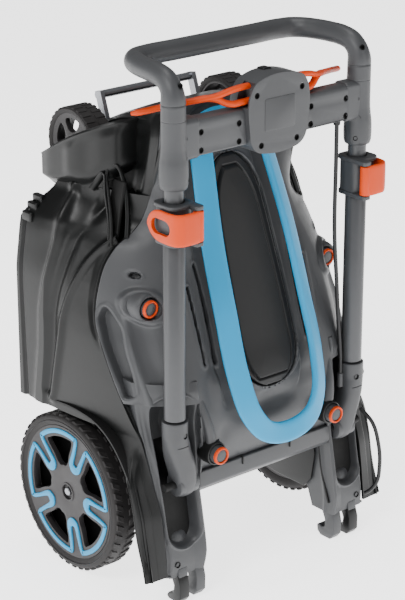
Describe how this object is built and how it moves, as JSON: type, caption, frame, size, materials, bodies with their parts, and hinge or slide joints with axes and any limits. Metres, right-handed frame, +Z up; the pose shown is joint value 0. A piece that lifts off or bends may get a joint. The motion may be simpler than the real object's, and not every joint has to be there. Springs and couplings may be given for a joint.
{
  "type": "cordless lawn mower",
  "caption": "Cordless walk-behind lawn mower, folded for storage and standing on its rear end: fold-over telescopic handle, battery hood, blade and adjustable wheels.",
  "frame": {"origin": "middle of the footprint, on the surface that the folded mower stands on", "axes": "+Z up with the mower standing on its rear end, -Y towards the folded handle and hood, +Y towards the blade side, X across the mower (the mirror plane is X = 0)"},
  "size_m": [0.38, 0.297, 0.6518],
  "materials": {
    "black_plastic": "fine textured moulded plastic",
    "grey_plastic": "fine textured moulded plastic",
    "tube_paint": "satin grey paint on steel tube",
    "lid_black": "satin moulded plastic",
    "blue_plastic": "satin coloured moulded plastic",
    "orange_plastic": "satin coloured moulded plastic",
    "tyre_plastic": "matte moulded tread",
    "steel": "plain turned and pressed steel",
    "pack_plastic": "textured battery case",
    "cable_black": "smooth cable jacket"
  },
  "bodies": {
    "chassis": {"deck_shell": "black_plastic", "hood_cover": "grey_plastic", "left_leg_bracket": "grey_plastic", "right_leg_bracket": "grey_plastic", "left_outer_foot": "black_plastic", "right_outer_foot": "black_plastic", "carry_ring": "blue_plastic", "battery_tray": "black_plastic", "battery_pack_left": "pack_plastic", "battery_pack_right": "pack_plastic", "lid_hinge_pin": "steel", "motor_housing": "black_plastic", "flap_rod": "steel", "rear_bar": "grey_plastic", "left_pivot_pin": "steel", "right_pivot_pin": "steel", "cable_loop": "cable_black"},
    "lower_handle": {"left_lower_tube": "tube_paint", "right_lower_tube": "tube_paint", "left_handle_fitting": "grey_plastic", "right_handle_fitting": "grey_plastic", "left_clamp_body": "grey_plastic", "right_clamp_body": "grey_plastic", "left_lever_pin": "steel", "right_lever_pin": "steel", "upper_cable": "cable_black"},
    "upper_handle": {"left_inner_tube": "tube_paint", "right_inner_tube": "tube_paint", "left_sleeve": "grey_plastic", "right_sleeve": "grey_plastic", "left_crossbar": "grey_plastic", "right_crossbar": "grey_plastic", "control_box": "grey_plastic", "grip_bar": "grey_plastic"},
    "bail": {"start_bail": "orange_plastic"},
    "start_key": {"start_button": "orange_plastic"},
    "left_lever": {"left_clamp_lever": "orange_plastic"},
    "right_lever": {"right_clamp_lever": "orange_plastic"},
    "lid": {"battery_lid": "lid_black"},
    "flap": {"rear_flap": "black_plastic"},
    "rear_axle": {"rear_axle_crank": "steel"},
    "front_axle": {"front_axle_crank": "steel"},
    "left_rear_wheel": {"left_rear_tyre": "tyre_plastic", "left_rear_rim": "black_plastic", "left_rear_trim": "blue_plastic"},
    "right_rear_wheel": {"right_rear_tyre": "tyre_plastic", "right_rear_rim": "black_plastic", "right_rear_trim": "blue_plastic"},
    "left_front_wheel": {"left_front_tyre": "tyre_plastic", "left_front_rim": "black_plastic"},
    "right_front_wheel": {"right_front_tyre": "tyre_plastic", "right_front_rim": "black_plastic"},
    "blade": {"motor_rotor": "steel", "blade_carrier": "black_plastic", "mower_blade": "steel", "blade_bolt": "steel"},
    "left_height_key": {"left_height_button": "orange_plastic"},
    "right_height_key": {"right_height_button": "orange_plastic"},
    "left_fold_key": {"left_fold_button": "orange_plastic"},
    "right_fold_key": {"right_fold_button": "orange_plastic"}
  },
  "joints": [
    {"name": "handle_fold", "type": "hinge", "parent": "chassis", "child": "lower_handle", "pos_m": [0, -0.09946, 0.15], "axis": [1, 0, 0], "range_deg": [0, 135], "deforming": ["cable_loop"]},
    {"name": "handle_telescope", "type": "slide", "parent": "lower_handle", "child": "upper_handle", "axis": [0, 0, 1], "range_m": [0, 0.18], "deforming": ["upper_cable"]},
    {"name": "left_clamp_open", "type": "hinge", "parent": "lower_handle", "child": "left_lever", "pos_m": [-0.128, -0.12976, 0.475], "axis": [0, 0, 1], "range_deg": [0, 100]},
    {"name": "right_clamp_open", "type": "hinge", "parent": "lower_handle", "child": "right_lever", "pos_m": [0.128, -0.12976, 0.475], "axis": [0, 0, -1], "range_deg": [0, 100]},
    {"name": "bail_pull", "type": "hinge", "parent": "upper_handle", "child": "bail", "pos_m": [0, -0.10746, 0.597], "axis": [1, 0, 0], "range_deg": [0, 25], "stiffness_Nm_per_rad": 0.3, "springref_deg": -11.46},
    {"name": "start_press", "type": "slide", "parent": "upper_handle", "child": "start_key", "axis": [0, 0, -1], "range_m": [0, 0.003], "stiffness_N_per_m": 300, "springref_m": -0.001},
    {"name": "lid_open", "type": "hinge", "parent": "chassis", "child": "lid", "pos_m": [0, -0.02686, 0.504], "axis": [-1, 0, 0], "range_deg": [0, 60]},
    {"name": "flap_open", "type": "hinge", "parent": "chassis", "child": "flap", "pos_m": [0, 0.04254, 0.15], "axis": [-1, 0, 0], "range_deg": [0, 50], "stiffness_Nm_per_rad": 0.3, "springref_deg": -34.38},
    {"name": "height_adjust", "type": "hinge", "parent": "chassis", "child": "rear_axle", "pos_m": [0, 0.06854, 0.1458], "axis": [1, 0, 0], "range_deg": [0, 47]},
    {"name": "front_height_adjust", "type": "hinge", "parent": "chassis", "child": "front_axle", "pos_m": [0, 0.12354, 0.5618], "axis": [1, 0, 0], "range_deg": [0, 47]},
    {"name": "left_rear_wheel_spin", "type": "hinge", "parent": "rear_axle", "child": "left_rear_wheel", "pos_m": [-0.172, 0.04854, 0.1], "axis": [1, 0, 0], "continuous": true},
    {"name": "right_rear_wheel_spin", "type": "hinge", "parent": "rear_axle", "child": "right_rear_wheel", "pos_m": [0.172, 0.04854, 0.1], "axis": [1, 0, 0], "continuous": true},
    {"name": "left_front_wheel_spin", "type": "hinge", "parent": "front_axle", "child": "left_front_wheel", "pos_m": [-0.114, 0.10354, 0.516], "axis": [1, 0, 0], "continuous": true},
    {"name": "right_front_wheel_spin", "type": "hinge", "parent": "front_axle", "child": "right_front_wheel", "pos_m": [0.114, 0.10354, 0.516], "axis": [1, 0, 0], "continuous": true},
    {"name": "blade_spin", "type": "hinge", "parent": "chassis", "child": "blade", "pos_m": [0, 0.11654, 0.335], "axis": [0, 1, 0], "continuous": true},
    {"name": "left_height_press", "type": "slide", "parent": "chassis", "child": "left_height_key", "axis": [0, 1, 0], "range_m": [0, 0.006], "stiffness_N_per_m": 300, "springref_m": -0.001},
    {"name": "right_height_press", "type": "slide", "parent": "chassis", "child": "right_height_key", "axis": [0, 1, 0], "range_m": [0, 0.006], "stiffness_N_per_m": 300, "springref_m": -0.001},
    {"name": "left_fold_press", "type": "slide", "parent": "chassis", "child": "left_fold_key", "axis": [0, 1, 0], "range_m": [0, 0.006], "stiffness_N_per_m": 300, "springref_m": -0.001},
    {"name": "right_fold_press", "type": "slide", "parent": "chassis", "child": "right_fold_key", "axis": [0, 1, 0], "range_m": [0, 0.006], "stiffness_N_per_m": 300, "springref_m": -0.001}
  ],
  "couplings": [
    {"joint": "front_height_adjust", "follows": "height_adjust", "ratio": 1}
  ]
}
